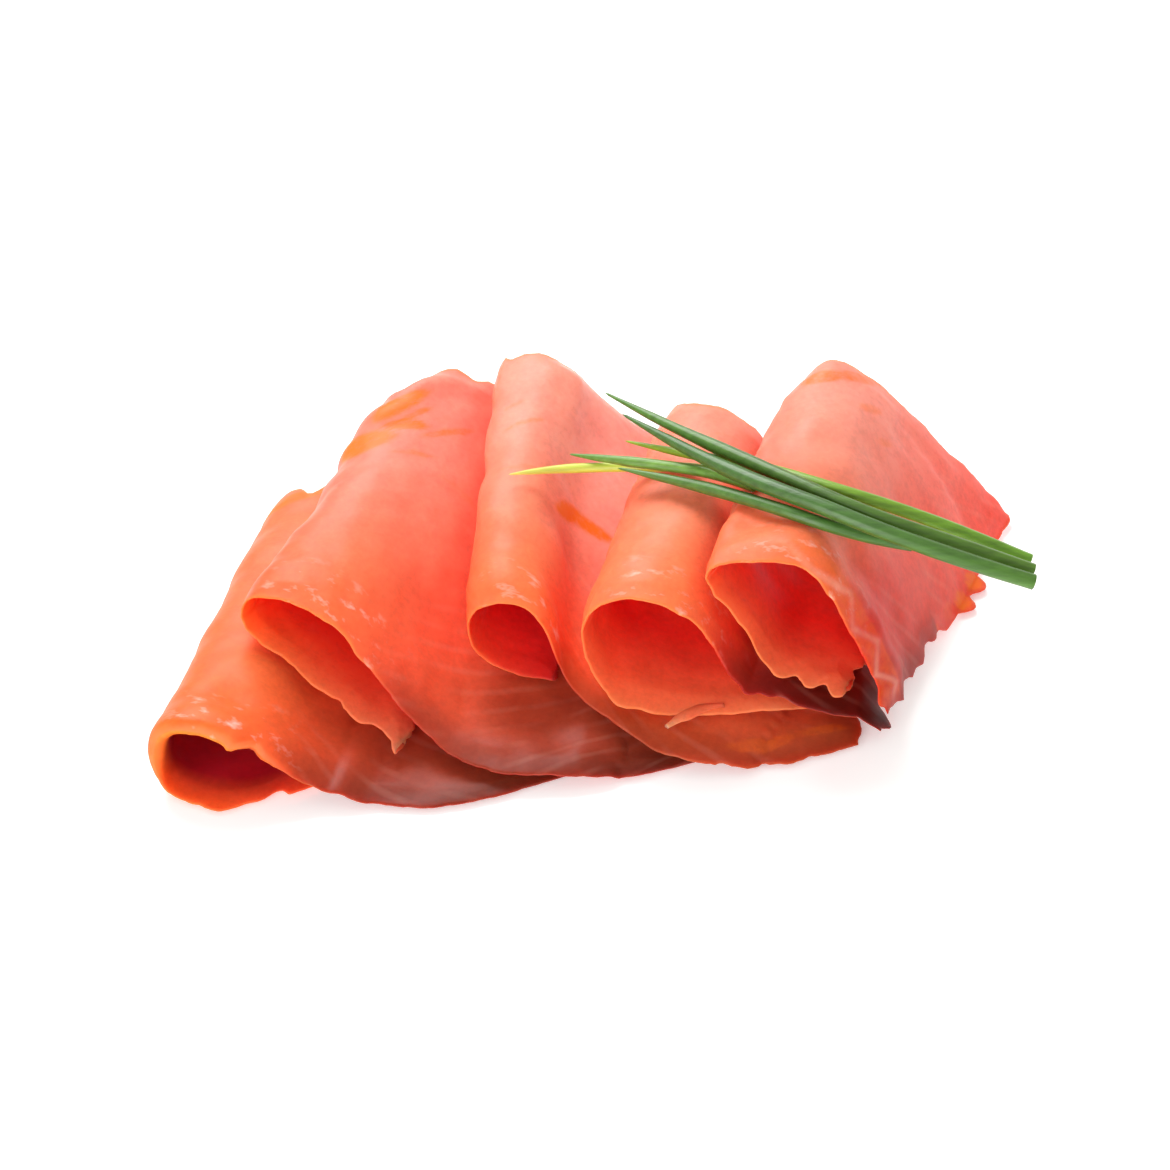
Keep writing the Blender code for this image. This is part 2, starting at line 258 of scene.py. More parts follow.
sheet = {
    "cell": 0.72,  # mesh spacing
    "crowd": 0.35,  # how much closer the cells lie at the edges
    "foldEnd": 0.45,  # place past which a sheet is its upper leaf
    "overhang": (1, 7),  # the upper leaf comes down to the lower one's level this far past its end
    "leastRise": 0.1,  # of its own height, kept by a loop that lies high on the pile
    "ragged": 0.55,  # unevenness of a cut edge
    "raggedFade": 12,  # how far in from an edge its unevenness reaches
    "swell": 0.28,  # height of the soft waves in the surface
    "swellWave": 19,
    "calm": ((-2, 10), (-2, 6)),  # where waves, and then all relief, grow in from an edge
    "rim": 4.5,  # width over which the slice thins to its edge
    "rimShare": 0.14,  # of the thickness left at the very edge
    "rimCurve": 0.8,  # under 1 it thins late
    "uneven": 0.1,  # how much the thickness varies
    "unevenWave": 9,
    "roundLip": 2,  # width of the round on a thick lip
    "lipPlaces": (0.30, 0.40, 0.62, 0.72),  # a thick lip grows between the first two, ends between the last
    "lipDepths": (3, 12),  # and is gone between these depths
    "colourPlaces": (0, 0.33, 0.45, 0.56, 0.68, 0.8, 1),
    "uvSize": 100,  # mm to one unit of the UV map
}


def sectionPoints(rise, lean, width, crest, held, under, tail):
    # control points (across, up) of a folded section, from the lower leaf's end round to the tail's
    top = rise / 0.96  # the rounded crest stays a little below its control points
    outside = -0.02 * width
    return np.array([
        (under, 0), (0.62 * under, 0), (0.30 * min(under, width), 0),
        (outside, 0), (outside, lean * top), (crest * width, top),
        (0.5 * (1 + crest) * width, 0.5 * (top + held)), (width, held),
        (width + 0.45 * tail, 0.6 * held), (width + tail, 0),
    ])


def spline(points, places):
    # points of the clamped cubic B-spline through the control points, at places from 0 to 1
    padded = np.vstack([2 * points[0] - points[1], points, 2 * points[-1] - points[-2]])
    spans = len(points) - 1
    along = np.clip(np.asarray(places) * spans, 0, spans - 1e-9)
    k = along.astype(int)
    t = (along - k)[:, None]
    a, b, c, d = (padded[np.minimum(k + i, len(padded) - 1)] for i in range(4))
    second = 3 * t**3 - 6 * t**2 + 4
    third = -3 * t**3 + 3 * t**2 + 3 * t + 1
    return ((1 - t) ** 3 * a + second * b + third * c + t**3 * d) / 6


def leafEdge(section, cut, places):
    # the sheet's middle line along one cut, settled on nothing: across, along and up for each place
    points = sectionPoints(**section)
    along = np.interp(range(len(points)), pile["cutPlaces"], cut)
    return spline(np.column_stack([points[:, 0], along, points[:, 1]]), places)


def placeTable(size):
    # how far round the section each place lies, in mm, halfway between the two cuts
    places = np.linspace(0, 1, 400)
    front = leafEdge(size["front"], size["frontCut"], places)
    back = leafEdge(size["back"], size["backCut"], places)
    middle = 0.5 * (front + back)
    steps = np.linalg.norm(np.diff(middle[:, (0, 2)], axis=0), axis=1)
    return places, np.concatenate([[0], np.cumsum(steps)])


def mapAxes():
    return [np.arange(-half, half + pile["mapStep"] / 2, pile["mapStep"]) for half in pile["mapHalfSize"]]


def pileHeights(nodes):
    # the height in mm of the slices laid before, looked for straight down at each map point
    xs, ys = mapAxes()
    heights = np.zeros((len(xs), len(ys)))
    for node in nodes:
        corners = [vertex.co for vertex in node.data.vertices]
        faces = [list(face.vertices) for face in node.data.polygons]
        tree = BVHTree.FromPolygons(corners, faces)
        low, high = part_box(node.name)
        for i in np.flatnonzero((xs * mm > low.x + shift.x) & (xs * mm < high.x + shift.x)):
            for j in np.flatnonzero((ys * mm > low.y + shift.y) & (ys * mm < high.y + shift.y)):
                above = Vector((xs[i] * mm - shift.x, ys[j] * mm - shift.y, 1))
                hit = tree.ray_cast(above, Vector((0, 0, -1)))[0]
                if hit is not None:
                    heights[i, j] = max(heights[i, j], hit.z / mm)
    return heights


def shifted(field, reach):
    padded = np.pad(field, reach, mode="edge")
    size = range(2 * reach + 1)
    return [padded[i : i + field.shape[0], j : j + field.shape[1]] for i in size for j in size]


def restingHeights(heights):
    # a smooth surface that clears the pile: the middle of a sheet lying on it
    bridged = np.mean(shifted(np.max(shifted(heights, pile["reach"]), axis=0), pile["reach"]), axis=0)
    slope = np.hypot(*np.gradient(bridged, pile["mapStep"]))
    return bridged + 0.5 * pile["thickness"] * np.sqrt(1 + slope**2) + pile["gap"] * (bridged > 0.01)


def lookUp(field, x, y):
    i, j = ((v + half) / pile["mapStep"] for v, half in zip((x, y), pile["mapHalfSize"]))
    i0, j0 = np.floor(i).astype(int), np.floor(j).astype(int)
    s, t = i - i0, j - j0
    near = (1 - t) * field[i0, j0] + t * field[i0, j0 + 1]
    far = (1 - t) * field[i0 + 1, j0] + t * field[i0 + 1, j0 + 1]
    return (1 - s) * near + s * far


def teethLine(along, teeth):
    # how far an edge stands out, in mm: each tooth is (where, half width, how far), all in mm
    total = np.zeros_like(along)
    for where, half, far in teeth:
        total += far * np.clip(1 - ((along - where) / half) ** 2, 0, 1) ** 1.2
    return total


def rollSheet(size, acrossShare, backShare, ground):
    # where every point of the flat grid goes, with its place, its depth and its distance from an edge
    places, lengths = placeTable(size)
    length = lengths[-1]
    depthLength = np.mean(size["backCut"]) - np.mean(size["frontCut"])
    arc, depth = acrossShare * length, backShare * depthLength
    fade = sheet["raggedFade"]
    seed, teeth = size["seed"], size["teeth"]
    edges = {
        "front": (depth, arc), "back": (depthLength - depth, arc),
        "under": (arc, depth), "tail": (length - arc, depth),
    }
    out = {}
    for i, (edge, (inward, along)) in enumerate(edges.items()):
        line = sheet["ragged"] * wander(along, seed + i) + teethLine(along, teeth[edge])
        out[edge] = line * np.clip(1 - inward / fade, 0, 1)
    newArc = arc - out["under"] + out["tail"]
    newDepth = depth - out["front"] + out["back"]
    place = np.interp(newArc, lengths, places)
    share = (newDepth / depthLength)[:, None]
    front = leafEdge(size["front"], size["frontCut"], place)
    back = leafEdge(size["back"], size["backCut"], place)
    across, along, up = ((1 - share) * front + share * back).T
    over = np.clip(newArc - length, 0, None) - np.clip(-newArc, 0, None)  # beyond the section's own ends
    across = across + over
    turn = math.radians(size["heading"])
    x = size["foot"][0] + across * math.cos(turn) + along * math.sin(turn)
    y = size["foot"][1] - across * math.sin(turn) + along * math.cos(turn)
    base = lookUp(ground, x, y)
    share = share[:, 0]
    rise = (1 - share) * size["front"]["rise"] + share * size["back"]["rise"]
    under = (1 - share) * size["front"]["under"] + share * size["back"]["under"]
    near, far = sheet["overhang"]
    overLeaf = np.clip((under + far - across) / (far - near), 0, 1) * (place > sheet["foldEnd"])
    lowered = up * np.clip(1 - base / rise, sheet["leastRise"], 1)
    up = np.maximum(lowered, (pile["thickness"] + pile["gap"]) * overLeaf)
    inward = np.min([edge[0] for edge in edges.values()], axis=0)
    where = np.column_stack([x, y, base + up]) * mm - np.array(shift)
    return where, place, newArc, newDepth, inward


def crowded(share):
    return share - sheet["crowd"] * np.sin(2 * math.pi * share) / (2 * math.pi)


def readFloats(mesh, name):
    values = np.zeros(len(mesh.vertices), np.float32)
    mesh.attributes[name].data.foreach_get("value", values)
    return values.astype(float)


def writeFloats(mesh, name, values):
    attribute = mesh.attributes.new(name, "FLOAT", "POINT")
    attribute.data.foreach_set("value", np.asarray(values, np.float32))


def writeColours(mesh, name, colours):
    attribute = mesh.attributes.new(name, "FLOAT_COLOR", "POINT")
    attribute.data.foreach_set("color", colours.astype(np.float32).ravel())


def movePoints(mesh, where):
    mesh.vertices.foreach_set("co", where.astype(np.float32).ravel())
    mesh.update()


def points(mesh, kind="co"):
    values = np.zeros(len(mesh.vertices) * 3, np.float32)
    mesh.vertices.foreach_get(kind, values)
    return values.reshape(-1, 3).astype(float)


paint = {
    "backDepth": 62,  # where the outside reaches its back colours, paler with painted sheen
    "roofReach": 3,  # the roof of a loop is at its deepest red, its painted shade, this far in
    "floorReach": 15,  # and its floor this much farther
    "floorPlaces": (0.3, 0.46),  # from floor to roof
    "shadeGrowth": 0.8,  # how the painted shade inside a loop grows in: under 1 it comes early
    "streakFade": (0.8, 1.45),  # of a streak's half size
    "bandEnds": (-4, 2),  # a folded rim comes in over this much round its first arc
    "bandFade": 1.2,  # and ends within this much of its width
    "bandFat": 0.5,  # strength of the fat in it
    "bandFatFade": (0.5, 1.4),  # distance from its pale line
    "lineStep": 15,  # length of one zigzag of the line
    "lineSway": (4, (40, 23)),  # how unevenly it runs: mm, and the waves' lengths
    "lineDepths": (0.12, 0.62),  # of the rim's width: its shallowest, and its swing
    "lineFade": (0.1, 1.6),
    "lineStrength": 0.42, "lineUneven": (0.6, 0.4),
    "lipFade": (0.1, 1.3),  # width of the orange at a cut edge
    "lipWaves": (15, 7, 3.2), "lipUneven": (0.9, 0.7),
    "lipPlaces": (0, 0.3, 0.6, 0.7),  # in over the first two places, out over the last two
    "innerShare": 0.35,  # strength of edges and seams on the inside
    "seamStrength": 0.06,
    "seamPlaces": (0.64, 0.72),  # the seams show fully past these places
    "seamLeast": 0.25,  # share of them before that
    "rimShade": 0.5,  # how much painted shade darkens the tail's front rim, along its edge by the floor
    "rimPlaces": (0.62, 0.72),
    "rimWidth": 9,
    "rimDepth": 30,
    "flakeGlintDepths": (5, 15),  # pale flecks, flaky flesh with painted glints of wet sheen, lie nearer the front than this
    "flakeGlintPlaces": (0.44, 0.5, 0.6, 0.72),  # in over the first two places, out over the last two
}


def rowAt(row, place):
    # a row of hex colours read at each place
    colours = np.array([linear(text) for text in row])
    return np.column_stack([np.interp(place, sheet["colourPlaces"], colours[:, i]) for i in range(3)])


def fleshAndLightColour(size, place, depth, inside):
    # the outside pales towards the back with painted sheen, and the inside deepens to the red of painted
    # shade away from the opening, with a painted glow near it
    rows = size["colours"]
    back = smooth(depth, 0, paint["backDepth"])[:, None]
    outer = (1 - back) * rowAt(rows["outerFront"], place) + back * rowAt(rows["outerBack"], place)
    onFloor = 1 - smooth(place, *paint["floorPlaces"])
    reach = paint["roofReach"] + size.get("floorReach", paint["floorReach"]) * onFloor
    deep = np.clip(depth / reach, 0, 1)[:, None] ** paint["shadeGrowth"]
    inner = (1 - deep) * rowAt(rows["innerFront"], place) + deep * rowAt(rows["innerDeepShade"], place)
    return np.where(inside[:, None], inner, outer)


def fatStreaks(size, arc, depth):
    fat = np.zeros(len(arc))
    for where, back, length, width, turn, strength in size["streaks"]:
        cosine, sine = math.cos(math.radians(turn)), math.sin(math.radians(turn))
        u, v = arc - where, depth - back
        u, v = (u * cosine + v * sine) / (0.5 * length), (-u * sine + v * cosine) / (0.5 * width)
        fat = np.maximum(fat, strength * (1 - smooth(np.hypot(u, v), *paint["streakFade"])))
    return fat


def foldedRim(size, arc, depth):
    # how fully each point lies on the folded rim, and how far it is from the rim's pale zigzag line
    if "band" not in size:
        return np.zeros(len(arc)), np.full(len(arc), np.inf)
    width, first, last = size["band"]
    before, after = paint["bandEnds"]
    onBand = smooth(arc, first + before, first + after) * (1 - smooth(arc, last - after, last - before))
    onBand = onBand * (1 - smooth(depth, width - paint["bandFade"], width))
    sway, waves = paint["lineSway"]
    steps = (arc + sway * wander(arc, 8, waves)) / paint["lineStep"]
    zigzag = abs(np.mod(steps, 1) - 0.5) * 2  # 0 to 1 and back
    shallow, swing = paint["lineDepths"]
    return onBand, abs(depth - width * (shallow + swing * zigzag))


def paintSlice(mesh, size, side):
    # the flesh colour, with its painted sheen, glow and shade, and the masks that the material reads; side is
    # 1 outside and -1 inside
    place, depth, edge, arc = (readFloats(mesh, name) for name in ("place", "depth", "edge", "arc"))
    outside = side > 0
    sideShare = np.where(outside, 1, paint["innerShare"])

    onBand, fromLine = foldedRim(size, arc, depth)
    pale = paint["lineStrength"] * onBand * (1 - smooth(fromLine, *paint["lineFade"]))
    least, swing = paint["lineUneven"]
    writeFloats(mesh, "pale", pale * (least + swing * wander(arc, 4)) * outside)
    bandFat = paint["bandFat"] * onBand * smooth(fromLine, *paint["bandFatFade"])
    writeFloats(mesh, "fat", np.maximum(fatStreaks(size, arc, depth), bandFat) * outside)

    middle, swing = paint["lipUneven"]
    uneven = middle + swing * wander(arc + 0.3 * depth, size["seed"] + 9, paint["lipWaves"])
    start, width = paint["lipFade"]
    lip = 1 - smooth(edge, start, width * np.clip(uneven, 0.2, 2))
    grow, full, fade, gone = paint["lipPlaces"]
    writeFloats(mesh, "lip", lip * sideShare * smooth(place, grow, full) * (1 - smooth(place, fade, gone)))

    least = paint["seamLeast"]
    seams = least + (1 - least) * smooth(place, *paint["seamPlaces"])
    writeFloats(mesh, "seams", paint["seamStrength"] * sideShare * seams)

    # painted shade: the tail's front rim, where it meets the floor, is darkened
    atShadedRim = smooth(place, *paint["rimPlaces"]) * (1 - smooth(edge, 0, paint["rimWidth"]))
    rimShading = 1 - paint["rimShade"] * atShadedRim * (1 - onBand) * (depth < paint["rimDepth"])
    flesh = fleshAndLightColour(size, place, depth, side < 0)
    colour = np.column_stack([flesh * rimShading[:, None], np.ones(len(flesh))])
    writeColours(mesh, "flesh", colour)

    # pale flecks near the lips: flaky flesh with painted glints of wet sheen
    grow, full, fade, gone = paint["flakeGlintPlaces"]
    flakeAndGlint = (1 - smooth(depth, *paint["flakeGlintDepths"])) * smooth(place, grow, full)
    writeFloats(mesh, "flakeAndGlint", outside * flakeAndGlint * (1 - smooth(place, fade, gone)))


def swellSheet(mesh, size, where, place, arc, depth, edge):
    # soft waves, and the slice's own dents and humps, along the sheet's normals
    waveCalm, calm = sheet["calm"]
    swell = sheet["swell"] * ripple(arc, depth, size["seed"], sheet["swellWave"]) * smooth(edge, *waveCalm)
    # the grid's own normals look out of the loop or into it: outward is up at the crest, 20 mm back
    crest = np.argmin(abs(place - 0.56) + abs(depth - 20) / 100)
    outward = 1 if points(mesh, "normal")[crest, 2] > 0 else -1
    places, lengths = placeTable(size)
    for middle, back, halfArc, halfDepth, height in size["dents"]:
        centre = np.interp(middle, places, lengths)
        fall = ((arc - centre) / halfArc) ** 2 + ((depth - back) / halfDepth) ** 2
        swell = swell + outward * height * np.exp(-fall)
    return where + points(mesh, "normal") * (swell * smooth(edge, *calm))[:, None] * mm, outward


def thicknessShares(size, place, arc, depth, edge):
    # the share of the full thickness at each point: a slice thins to its edges, but for a thick lip
    rim = np.clip(edge / sheet["rim"], 0, 1)
    shares = sheet["rimShare"] + (1 - sheet["rimShare"]) * rim ** sheet["rimCurve"]
    variation = ripple(arc, depth, size["seed"] + 5, sheet["unevenWave"])
    shares = shares * (1 - sheet["uneven"] + sheet["uneven"] * variation)
    if "lipThick" in size:
        grow, full, fade, gone = sheet["lipPlaces"]
        atLip = smooth(place, grow, full) * (1 - smooth(place, fade, gone))
        atLip = atLip * (1 - smooth(depth, *sheet["lipDepths"]))
        inward = 1 - np.clip(edge / sheet["roundLip"], 0, 1)
        rounded = np.sqrt(np.clip(1 - inward**2, 0, 1))
        lip = atLip * size["lipThick"] * np.maximum(rounded, shares)
        shares = ((1 - atLip) * shares + lip) / size["lipThick"]
    return shares


def solidify(piece, thickness, group=""):
    solid = piece.modifiers.new("thickness", "SOLIDIFY")
    solid.thickness = thickness * mm
    solid.offset = 0
    solid.vertex_group = group
    bpy.ops.object.modifier_apply(modifier="thickness")


def makeSlice(size, laid, material):
    length = placeTable(size)[1][-1]
    depthLength = np.mean(size["backCut"]) - np.mean(size["frontCut"])
    columns, rows = round(length / sheet["cell"]), round(depthLength / sheet["cell"])
    bpy.ops.mesh.primitive_grid_add(x_subdivisions=columns, y_subdivisions=rows, size=1)
    piece = bpy.context.object
    piece.name = size["name"] + "_flesh"
    bare(piece)
    mesh = piece.data
    flat = crowded(points(mesh) + 0.5)
    ground = restingHeights(pileHeights(laid))
    where, place, arc, depth, edge = rollSheet(size, flat[:, 0], flat[:, 1], ground)
    movePoints(mesh, where)
    where, outward = swellSheet(mesh, size, where, place, arc, depth, edge)
    movePoints(mesh, where)
    normals = points(mesh, "normal")
    for name, values in (("place", place), ("arc", arc), ("depth", depth), ("edge", edge)):
        writeFloats(mesh, name, values)
    corners = np.zeros(len(mesh.loops), np.int32)
    mesh.loops.foreach_get("vertex_index", corners)
    uv = np.column_stack([arc, depth])[corners] / sheet["uvSize"]
    mesh.uv_layers.active.data.foreach_set("uv", uv.astype(np.float32).ravel())
    mesh.uv_layers.active.name = "sheetMap"

    group = piece.vertex_groups.new(name="thick")
    for i, share in enumerate(thicknessShares(size, place, arc, depth, edge)):
        group.add([i], float(np.clip(share, 0, 1)), "REPLACE")
    solidify(piece, pile["thickness"] * size.get("lipThick", 1), "thick")
    mesh = piece.data
    both = points(mesh)  # the one side's points, then the other's
    side = np.sign(np.sum((both - np.vstack([where, where])) * np.vstack([normals, normals]), axis=1))
    both[:, 2] = np.maximum(both[:, 2], 0)  # nothing sinks into what it lies on
    movePoints(mesh, both)
    paintSlice(mesh, size, side * outward)
    bpy.ops.object.shade_smooth()
    piece.vertex_groups.clear()
    mesh.materials.append(material)
    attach(piece, "root")
    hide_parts(size["name"])
    print(size["name"], len(where), "points a side")


shred = {
    # a splinter hanging from the fourth slice's lower leaf onto the third one's tail
    "route": [(15.8, -39.3), (18.0, -37.0), (20.3, -35.3), (23.0, -34.1), (27.0, -33.4)],
    "width": 2.3, "thickness": 0.8,
    "lift": 0.8,  # of its root end
    "droop": 0.4,  # of its long edges
    "cells": (40, 8),
    "colours": ("#FF9468", "#F86A44", "#F0583A"),  # tip, middle, root
}


def makeShred(size, laid, material):
    bpy.ops.mesh.primitive_grid_add(x_subdivisions=size["cells"][0], y_subdivisions=size["cells"][1], size=1)
    piece = bpy.context.object
    piece.name = "slice_4_shred"
    bare(piece)
    mesh = piece.data
    flat = points(mesh)
    along, across = flat[:, 0] + 0.5, flat[:, 1]
    route = np.array(size["route"])
    steps = np.linspace(0, 1, 50)
    ahead = np.gradient(spline(route, steps), axis=0)
    ahead = np.column_stack([np.interp(along, steps, ahead[:, i]) for i in range(2)])
    ahead /= np.linalg.norm(ahead, axis=1)[:, None]
    taper = smooth(along, -0.05, 0.5) * smooth(1 - along, -0.05, 0.4)
    width = size["width"] * taper * (1 + 0.15 * wander(along * 20, 4))
    plan = spline(route, along) + (across * width)[:, None] * np.column_stack([-ahead[:, 1], ahead[:, 0]])
    ground = lookUp(restingHeights(pileHeights(laid)), plan[:, 0], plan[:, 1])
    height = ground + size["lift"] * smooth(along, 0.3, 1) - size["droop"] * (2 * across) ** 2
    movePoints(mesh, np.column_stack([plan, height]) * mm - np.array(shift))
    mesh.uv_layers.active.name = "sheetMap"
    colours = np.array([linear(text) for text in size["colours"]])
    flesh = np.column_stack([np.interp(along, (0, 0.5, 1), colours[:, i]) for i in range(4)])
    writeColours(mesh, "flesh", flesh)
    solidify(piece, size["thickness"])
    bpy.ops.object.shade_smooth()
    piece.data.materials.append(material)
    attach(piece, "root")
    print("shred made")


# The chives: each blade's route runs from its tip to its cut end, by the points that steer its curve.
chives = [
    {
        "name": "chive_1", "thick": 2.8, "tip": "#4E7A2A", "middle": "#4A6E22", "end": "#547822",
        "route": [
            (4, 28.5, 39), (17, 14, 41), (29, 2, 42.8), (41, -8.8, 44),
            (53, -17, 43), (69, -19, 38), (86.4, -20.8, 31.8),
        ],
    },
    {
        "name": "chive_2", "thick": 3.2, "tip": "#42682A", "middle": "#42682A", "end": "#4C7426",
        "route": [
            (7.5, 21, 39), (20, 5.4, 41.5), (32, -8.3, 44), (44, -16.5, 44.8),
            (56, -22, 42.4), (74, -24.5, 36.4), (86, -25.3, 32.5),
        ],
    },
    {
        "name": "chive_3", "thick": 2.6, "tip": "#8EA62C", "middle": "#7EA52A", "end": "#669426",
        "route": [
            (8, 16, 36), (20.5, 8.5, 38), (36, -1.2, 41.8), (48, -9.2, 42.7),
            (60, -11, 39.7), (73, -13.2, 35.4), (86.4, -15.7, 30.3),
        ],
    },
    {
        "name": "chive_4", "thick": 2.6, "tip": "#567C32", "middle": "#4A722E", "end": "#446C28",
        "route": [
            (6.5, 7.5, 35.5), (17, 3, 36), (26, -5, 39.2), (38, -15.4, 42.4),
            (47, -18.9, 40.9), (56, -18.4, 37.6), (63, -16.9, 35),
        ],
    },
    {
        "name": "chive_5", "thick": 2.2, "tip": "#5E8A36", "middle": "#6C943A", "end": "#6A9434",
        "route": [(-3, 15, 33.4), (7.5, 9.2, 36), (17, 5.5, 37.4), (26, 0.8, 39), (33, -5.3, 40.3)],
    },
    {
        "name": "chive_6", "thick": 2.0, "tip": "#D6CF5C", "middle": "#BCCB48", "end": "#9AB640",
        "route": [
            (-15, 9, 32.8), (-7, 11, 32.6), (2.5, 12, 32.4),
            (15, 9.7, 34.2), (22.5, 7.2, 36), (30, 1.6, 37.4),
        ],
    },
]

blade = {
    "sides": 24,
    "rings": 90,
    "taper": ((0, 0.12, 0.3, 1), (0.14, 0.62, 1, 1)),  # shares of the length, and of the thickness there
    "wall": 0.35,  # of the hollow leaf
    "ribs": 8,  # fine ridges round a blade
    "ribHeight": 0.035,
    "uneven": 0.02,
    "flatten": 0.93,  # a blade lies a little flat
}


def wrapOnRoute(flat, route, thick):
    # carries a straight unit tube, z from 0 to 1, onto a curved route
    share = np.clip(flat[:, 2], 0, 1)
    centre = spline(route, share)
    ahead = spline(route, np.clip(share + 0.01, 0, 1)) - spline(route, np.clip(share - 0.01, 0, 1))
    ahead /= np.linalg.norm(ahead, axis=1)[:, None]
    side = np.cross(ahead, (0, 0, 1))
    side /= np.linalg.norm(side, axis=1)[:, None]
    up = np.cross(side, ahead)
    angle = np.arctan2(flat[:, 1], flat[:, 0])
    ribs = blade["ribHeight"] * np.cos(blade["ribs"] * angle)
    width = np.interp(share, *blade["taper"]) * (1 + ribs + blade["uneven"] * wander(share * 100, 3))
    radius = (0.5 * thick * width)[:, None]
    across = np.cos(angle)[:, None] * side + blade["flatten"] * np.sin(angle)[:, None] * up
    return centre + radius * across, share


def clearSelection(kind):
    bpy.ops.object.mode_set(mode="EDIT")
    bpy.ops.mesh.select_mode(type=kind)
    bpy.ops.mesh.select_all(action="DESELECT")
    bpy.ops.object.mode_set(mode="OBJECT")


def makeBlade(size, material):
    bpy.ops.mesh.primitive_cylinder_add(vertices=blade["sides"], radius=1, depth=1, end_fill_type="NOTHING")
    piece = bpy.context.object
    piece.name = size["name"] + "_leaf"
    bare(piece)
    clearSelection("EDGE")
    mesh = piece.data
    for edge in mesh.edges:  # the edges that run along the blade
        low, high = (mesh.vertices[i].co.z for i in edge.vertices)
        edge.select = abs(low - high) > 0.5
    bpy.ops.object.mode_set(mode="EDIT")
    bpy.ops.mesh.subdivide(number_cuts=blade["rings"])
    bpy.ops.object.mode_set(mode="OBJECT")
    flat = points(mesh) + (0, 0, 0.5)
    where, share = wrapOnRoute(flat, np.array(size["route"], float), size["thick"])
    writeFloats(mesh, "along", share)
    movePoints(mesh, where * mm - np.array(shift))
    clearSelection("VERT")
    for vertex, place in zip(mesh.vertices, share):  # the tip is closed
        vertex.select = bool(place < 0.001)
    bpy.ops.object.mode_set(mode="EDIT")
    bpy.ops.mesh.merge(type="CENTER")
    bpy.ops.mesh.select_all(action="SELECT")
    bpy.ops.mesh.normals_make_consistent(inside=False)
    bpy.ops.object.mode_set(mode="OBJECT")
    wall = piece.modifiers.new("wall", "SOLIDIFY")
    wall.thickness = blade["wall"] * mm
    wall.offset = -1
    wall.use_even_offset = False
    bpy.ops.object.modifier_apply(modifier="wall")
    bpy.ops.object.shade_smooth_by_angle(angle=math.radians(50))
    piece.data.materials.append(material)
    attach(piece, "root")
    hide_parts(size["name"])


def newMaterial(name):
    material = bpy.data.materials.new(name)
    material.use_nodes = True
    return material, material.node_tree.nodes["Principled BSDF"]


def addNode(material, kind, settings=None, **inputs):
    # a node with its settings; each input, by its name with _ for a space or by i and its number, takes
    # a value or another node's output
    tree = material.node_tree
    node = tree.nodes.new("ShaderNode" + kind)
    for name, value in (settings or {}).items():
        setattr(node, name, value)
    for name, value in inputs.items():
        key = int(name[1:]) if name[1:].isdigit() else name.replace("_", " ")
        if isinstance(value, bpy.types.NodeSocket):
            tree.links.new(value, node.inputs[key])
        else:
            node.inputs[key].default_value = value
    return node


# Cured, cold-smoked salmon: moist, oily muscle that light sinks into, so the colour glows at thin
# edges. Fine pale seams of connective tissue part the flakes, and soft orange fat lies in streaks.
salmon = {
    # the pale fleck colour is flaky flesh with a painted glint of wet sheen
    "seam": "#FFC4AC", "fat": "#F0701C", "edge": "#FA7A3E", "flakeAndGlint": "#FFEDE4", "line": "#FFC4A4",
    "mottle": 7.0,  # size of the soft colour patches
    "mottleRange": (0.93, 1.06),
    "grain": 0.9,  # size of the fine tissue grain
    "speckle": 1.4,  # size of its colour speckle
    "speckleRange": (0.92, 1.08),
    "seamSpacing": 4.4, "seamBend": 5.0,
    # how many lie along one unit of the UV map, 100 mm:
    "patches": 9.0,  # where the seams show, so 11 mm each
    "crumbs": 60.0,  # the breaks in a streak's edge, 1.7 mm each
    "flecks": (22, 38, 1),  # pale flecks, flaky flesh with painted glints of wet sheen, along and across a slice, 4.5 by 2.6 mm each
    "fleckTurn": 24, "fleckStrength": 0.45, "edgeStrength": 0.7,
    "waves": 0.45,  # of the flecks' scale, so about 10 mm each
    "grainHeight": 0.3, "waveHeight": 0.8, "relief": 0.12,
    "roughness": (0.42, 0.5), "ior": 1.42, "specular": 0.2,
    "coat": 0.06, "coatRoughness": 0.3,
    "scatter": 0.55, "scatterColour": (1.0, 0.26, 0.13),
    "depth": 5.0,  # how far light spreads inside
}


